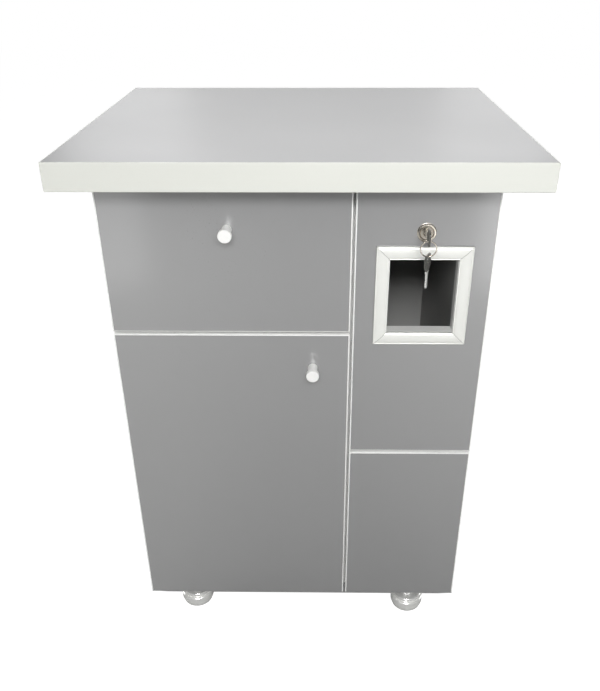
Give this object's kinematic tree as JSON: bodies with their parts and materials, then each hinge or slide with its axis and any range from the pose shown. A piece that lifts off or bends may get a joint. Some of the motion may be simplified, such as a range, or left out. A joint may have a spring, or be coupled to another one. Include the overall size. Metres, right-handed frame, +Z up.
{
  "type": "parcel drop cabinet",
  "caption": "Free-standing counter cabinet with a drawer over a hinged door and a lockable pull-out with a framed deposit opening, on levelling feet.",
  "frame": {"origin": "on the floor, under the centre of the worktop", "axes": "+Z up, fronts face -Y, +X to the right seen from the front"},
  "size_m": [0.65, 0.55, 0.86],
  "materials": {
    "grey_laminate": "satin grey melamine laminate on chipboard",
    "pale_edge_band": "pale warm white ABS edge band, satin",
    "grey_edge_band": "grey edge band, satin",
    "back_sheet": "thin grey-faced fibreboard",
    "raw_wood": "plain beech and pine",
    "zinc_steel": "bright zinc-plated steel",
    "nickel_plate": "nickel plate, polished",
    "key_metal": "nickel-plated key, dulled bow",
    "satin_aluminium": "satin anodised aluminium",
    "foot_chrome": "polished chrome",
    "buffer_rubber": "soft clear-grey rubber"
  },
  "bodies": {
    "cabinet": {"worktop_board": "grey_laminate", "worktop_edge_band": "pale_edge_band", "left_side": "grey_laminate", "right_side": "grey_laminate", "partition": "grey_laminate", "bottom_panel": "grey_laminate", "drawer_divider": "grey_laminate", "lower_right_rail": "grey_laminate", "top_stretchers": "grey_laminate", "back_panel": "back_sheet", "fixed_edge_bands": "pale_edge_band", "carcass_dowels": "raw_wood", "fixing_screws_16": "zinc_steel", "fixing_screws_35": "zinc_steel", "lower_front_panel": "grey_laminate", "panel_cleats": "raw_wood", "drawer_slide_outers": "zinc_steel", "pullout_slide_outers": "zinc_steel", "hinge_arms": "nickel_plate", "hinge_pins": "zinc_steel", "lock_strike": "zinc_steel", "foot_sockets": "zinc_steel"},
    "drawer": {"drawer_front": "grey_laminate", "drawer_front_band": "pale_edge_band", "drawer_sides": "grey_laminate", "drawer_box_ends": "grey_laminate", "drawer_bottom": "back_sheet", "drawer_knob": "satin_aluminium", "drawer_screws": "zinc_steel", "drawer_slide_inners": "zinc_steel"},
    "drawer_mids": {"drawer_slide_mids": "zinc_steel"},
    "pullout": {"pullout_front": "grey_laminate", "pullout_front_band": "pale_edge_band", "slot_edge_band": "grey_edge_band", "slot_frame": "satin_aluminium", "pullout_sides": "grey_laminate", "pullout_box_front": "grey_laminate", "pullout_back": "grey_laminate", "pullout_bottom": "grey_laminate", "pullout_slide_inners": "zinc_steel", "pullout_screws": "zinc_steel", "lock_housing": "nickel_plate", "lock_nut": "nickel_plate"},
    "pullout_mids": {"pullout_slide_mids": "zinc_steel"},
    "lock": {"lock_plug": "nickel_plate", "lock_cam": "nickel_plate", "cam_screw": "zinc_steel", "lock_key": "key_metal"},
    "ring": {"key_ring": "nickel_plate"},
    "spare": {"spare_key": "key_metal"},
    "door": {"door_panel": "grey_laminate", "door_band": "pale_edge_band", "door_knob": "satin_aluminium", "hinge_cups": "nickel_plate", "door_screws": "zinc_steel", "door_buffers": "buffer_rubber"},
    "foot_front_left": {"foot_front_left": "foot_chrome"},
    "foot_front_right": {"foot_front_right": "foot_chrome"},
    "foot_rear_left": {"foot_rear_left": "foot_chrome"},
    "foot_rear_right": {"foot_rear_right": "foot_chrome"}
  },
  "joints": [
    {"name": "drawer_slide", "type": "slide", "parent": "cabinet", "child": "drawer", "axis": [0, -1, 0], "range_m": [0, 0.43]},
    {"name": "drawer_mid_slide", "type": "slide", "parent": "cabinet", "child": "drawer_mids", "axis": [0, -1, 0], "range_m": [0, 0.216]},
    {"name": "pullout_slide", "type": "slide", "parent": "cabinet", "child": "pullout", "axis": [0, -1, 0], "range_m": [0, 0.33]},
    {"name": "pullout_mid_slide", "type": "slide", "parent": "cabinet", "child": "pullout_mids", "axis": [0, -1, 0], "range_m": [0, 0.166]},
    {"name": "door_hinge", "type": "hinge", "parent": "cabinet", "child": "door", "pos_m": [-0.27, -0.2165, 0.3265], "axis": [0, 0, -1], "range_deg": [0, 100]},
    {"name": "lock_turn", "type": "hinge", "parent": "pullout", "child": "lock", "pos_m": [0.17335, -0.215, 0.7517], "axis": [0, 1, 0], "range_deg": [0, 90]},
    {"name": "ring_hang", "type": "hinge", "parent": "lock", "child": "ring", "pos_m": [0.17335, -0.252, 0.74428], "axis": [0, 1, 0], "range_deg": [-90.5, 0.5]},
    {"name": "spare_key_swing", "type": "hinge", "parent": "ring", "child": "spare", "pos_m": [0.17335, -0.252, 0.72685], "axis": [1, 0, 0], "range_deg": [-35, 10]},
    {"name": "foot_front_left_screw", "type": "slide", "parent": "cabinet", "child": "foot_front_left", "axis": [0, 0, -1], "range_m": [0, 0.012]},
    {"name": "foot_front_right_screw", "type": "slide", "parent": "cabinet", "child": "foot_front_right", "axis": [0, 0, -1], "range_m": [0, 0.012]},
    {"name": "foot_rear_left_screw", "type": "slide", "parent": "cabinet", "child": "foot_rear_left", "axis": [0, 0, -1], "range_m": [0, 0.012]},
    {"name": "foot_rear_right_screw", "type": "slide", "parent": "cabinet", "child": "foot_rear_right", "axis": [0, 0, -1], "range_m": [0, 0.012]}
  ],
  "couplings": [
    {"joint": "drawer_mid_slide", "follows": "drawer_slide", "ratio": 0.5},
    {"joint": "pullout_mid_slide", "follows": "pullout_slide", "ratio": 0.5},
    {"joint": "ring_hang", "follows": "lock_turn", "ratio": -1}
  ]
}
